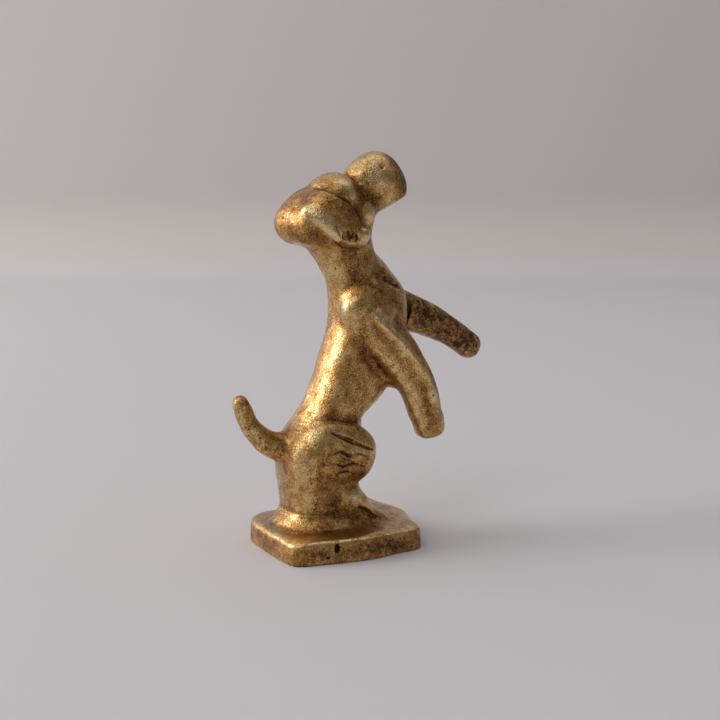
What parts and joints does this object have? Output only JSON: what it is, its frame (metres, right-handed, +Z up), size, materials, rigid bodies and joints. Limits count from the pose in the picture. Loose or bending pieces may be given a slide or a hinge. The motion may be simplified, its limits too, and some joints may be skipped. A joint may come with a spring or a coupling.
{
  "type": "animal figurine",
  "caption": "Small solid brass souvenir figurine of a begging dog that sits up on its haunches with its muzzle raised, on a thick rounded plinth.",
  "frame": {"origin": "middle of the plinth's flat underside, on the surface that the figurine stands on", "axes": "+X is the way the dog faces, +Y is the dog's left side, +Z is up"},
  "size_m": [0.0497, 0.0255, 0.065],
  "materials": {
    "aged_brass": "satin cast brass, rubbed bright on high spots and brown with age in the hollows"
  },
  "bodies": {
    "root": {"plinth": "aged_brass", "right_hind_foot": "aged_brass", "left_hind_foot": "aged_brass", "right_haunch": "aged_brass", "left_haunch": "aged_brass", "torso": "aged_brass", "tail": "aged_brass", "right_foreleg": "aged_brass", "left_foreleg": "aged_brass", "neck": "aged_brass", "skull": "aged_brass", "muzzle": "aged_brass", "right_ear": "aged_brass", "left_ear": "aged_brass"}
  },
  "joints": []
}
